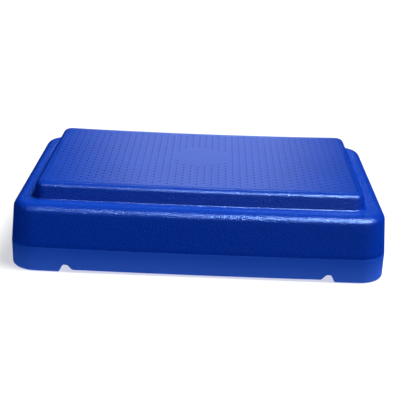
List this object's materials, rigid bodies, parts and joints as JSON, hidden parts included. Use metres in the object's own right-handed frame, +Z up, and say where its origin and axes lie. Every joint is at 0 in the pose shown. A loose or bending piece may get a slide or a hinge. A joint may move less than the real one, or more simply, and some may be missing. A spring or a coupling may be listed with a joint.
{
  "type": "mounting block",
  "caption": "Low stackable step with a raised deck, dimpled grip panel, ledge, notched base and rubber pads, for stepping up to a horse.",
  "frame": {"origin": "on the floor, under the centre of the block", "axes": "+Z up, X along the long side, -Y the front long side"},
  "size_m": [0.66, 0.406, 0.152],
  "materials": {
    "grip_panel": "semi-matt royal blue, dimpled",
    "upper_shell": "semi-matt royal blue, fine stipple",
    "base_shell": "smooth royal blue with a soft gloss",
    "screw_metal": "zinc-plated steel",
    "pad_rubber": "black rubber"
  },
  "bodies": {
    "root": {"grip_panel": "grip_panel", "upper_shell": "upper_shell", "base_shell": "base_shell", "shell_screws": "screw_metal", "foot_pad_front_left": "pad_rubber", "foot_pad_front_right": "pad_rubber", "foot_pad_back_left": "pad_rubber", "foot_pad_back_right": "pad_rubber"}
  },
  "joints": []
}
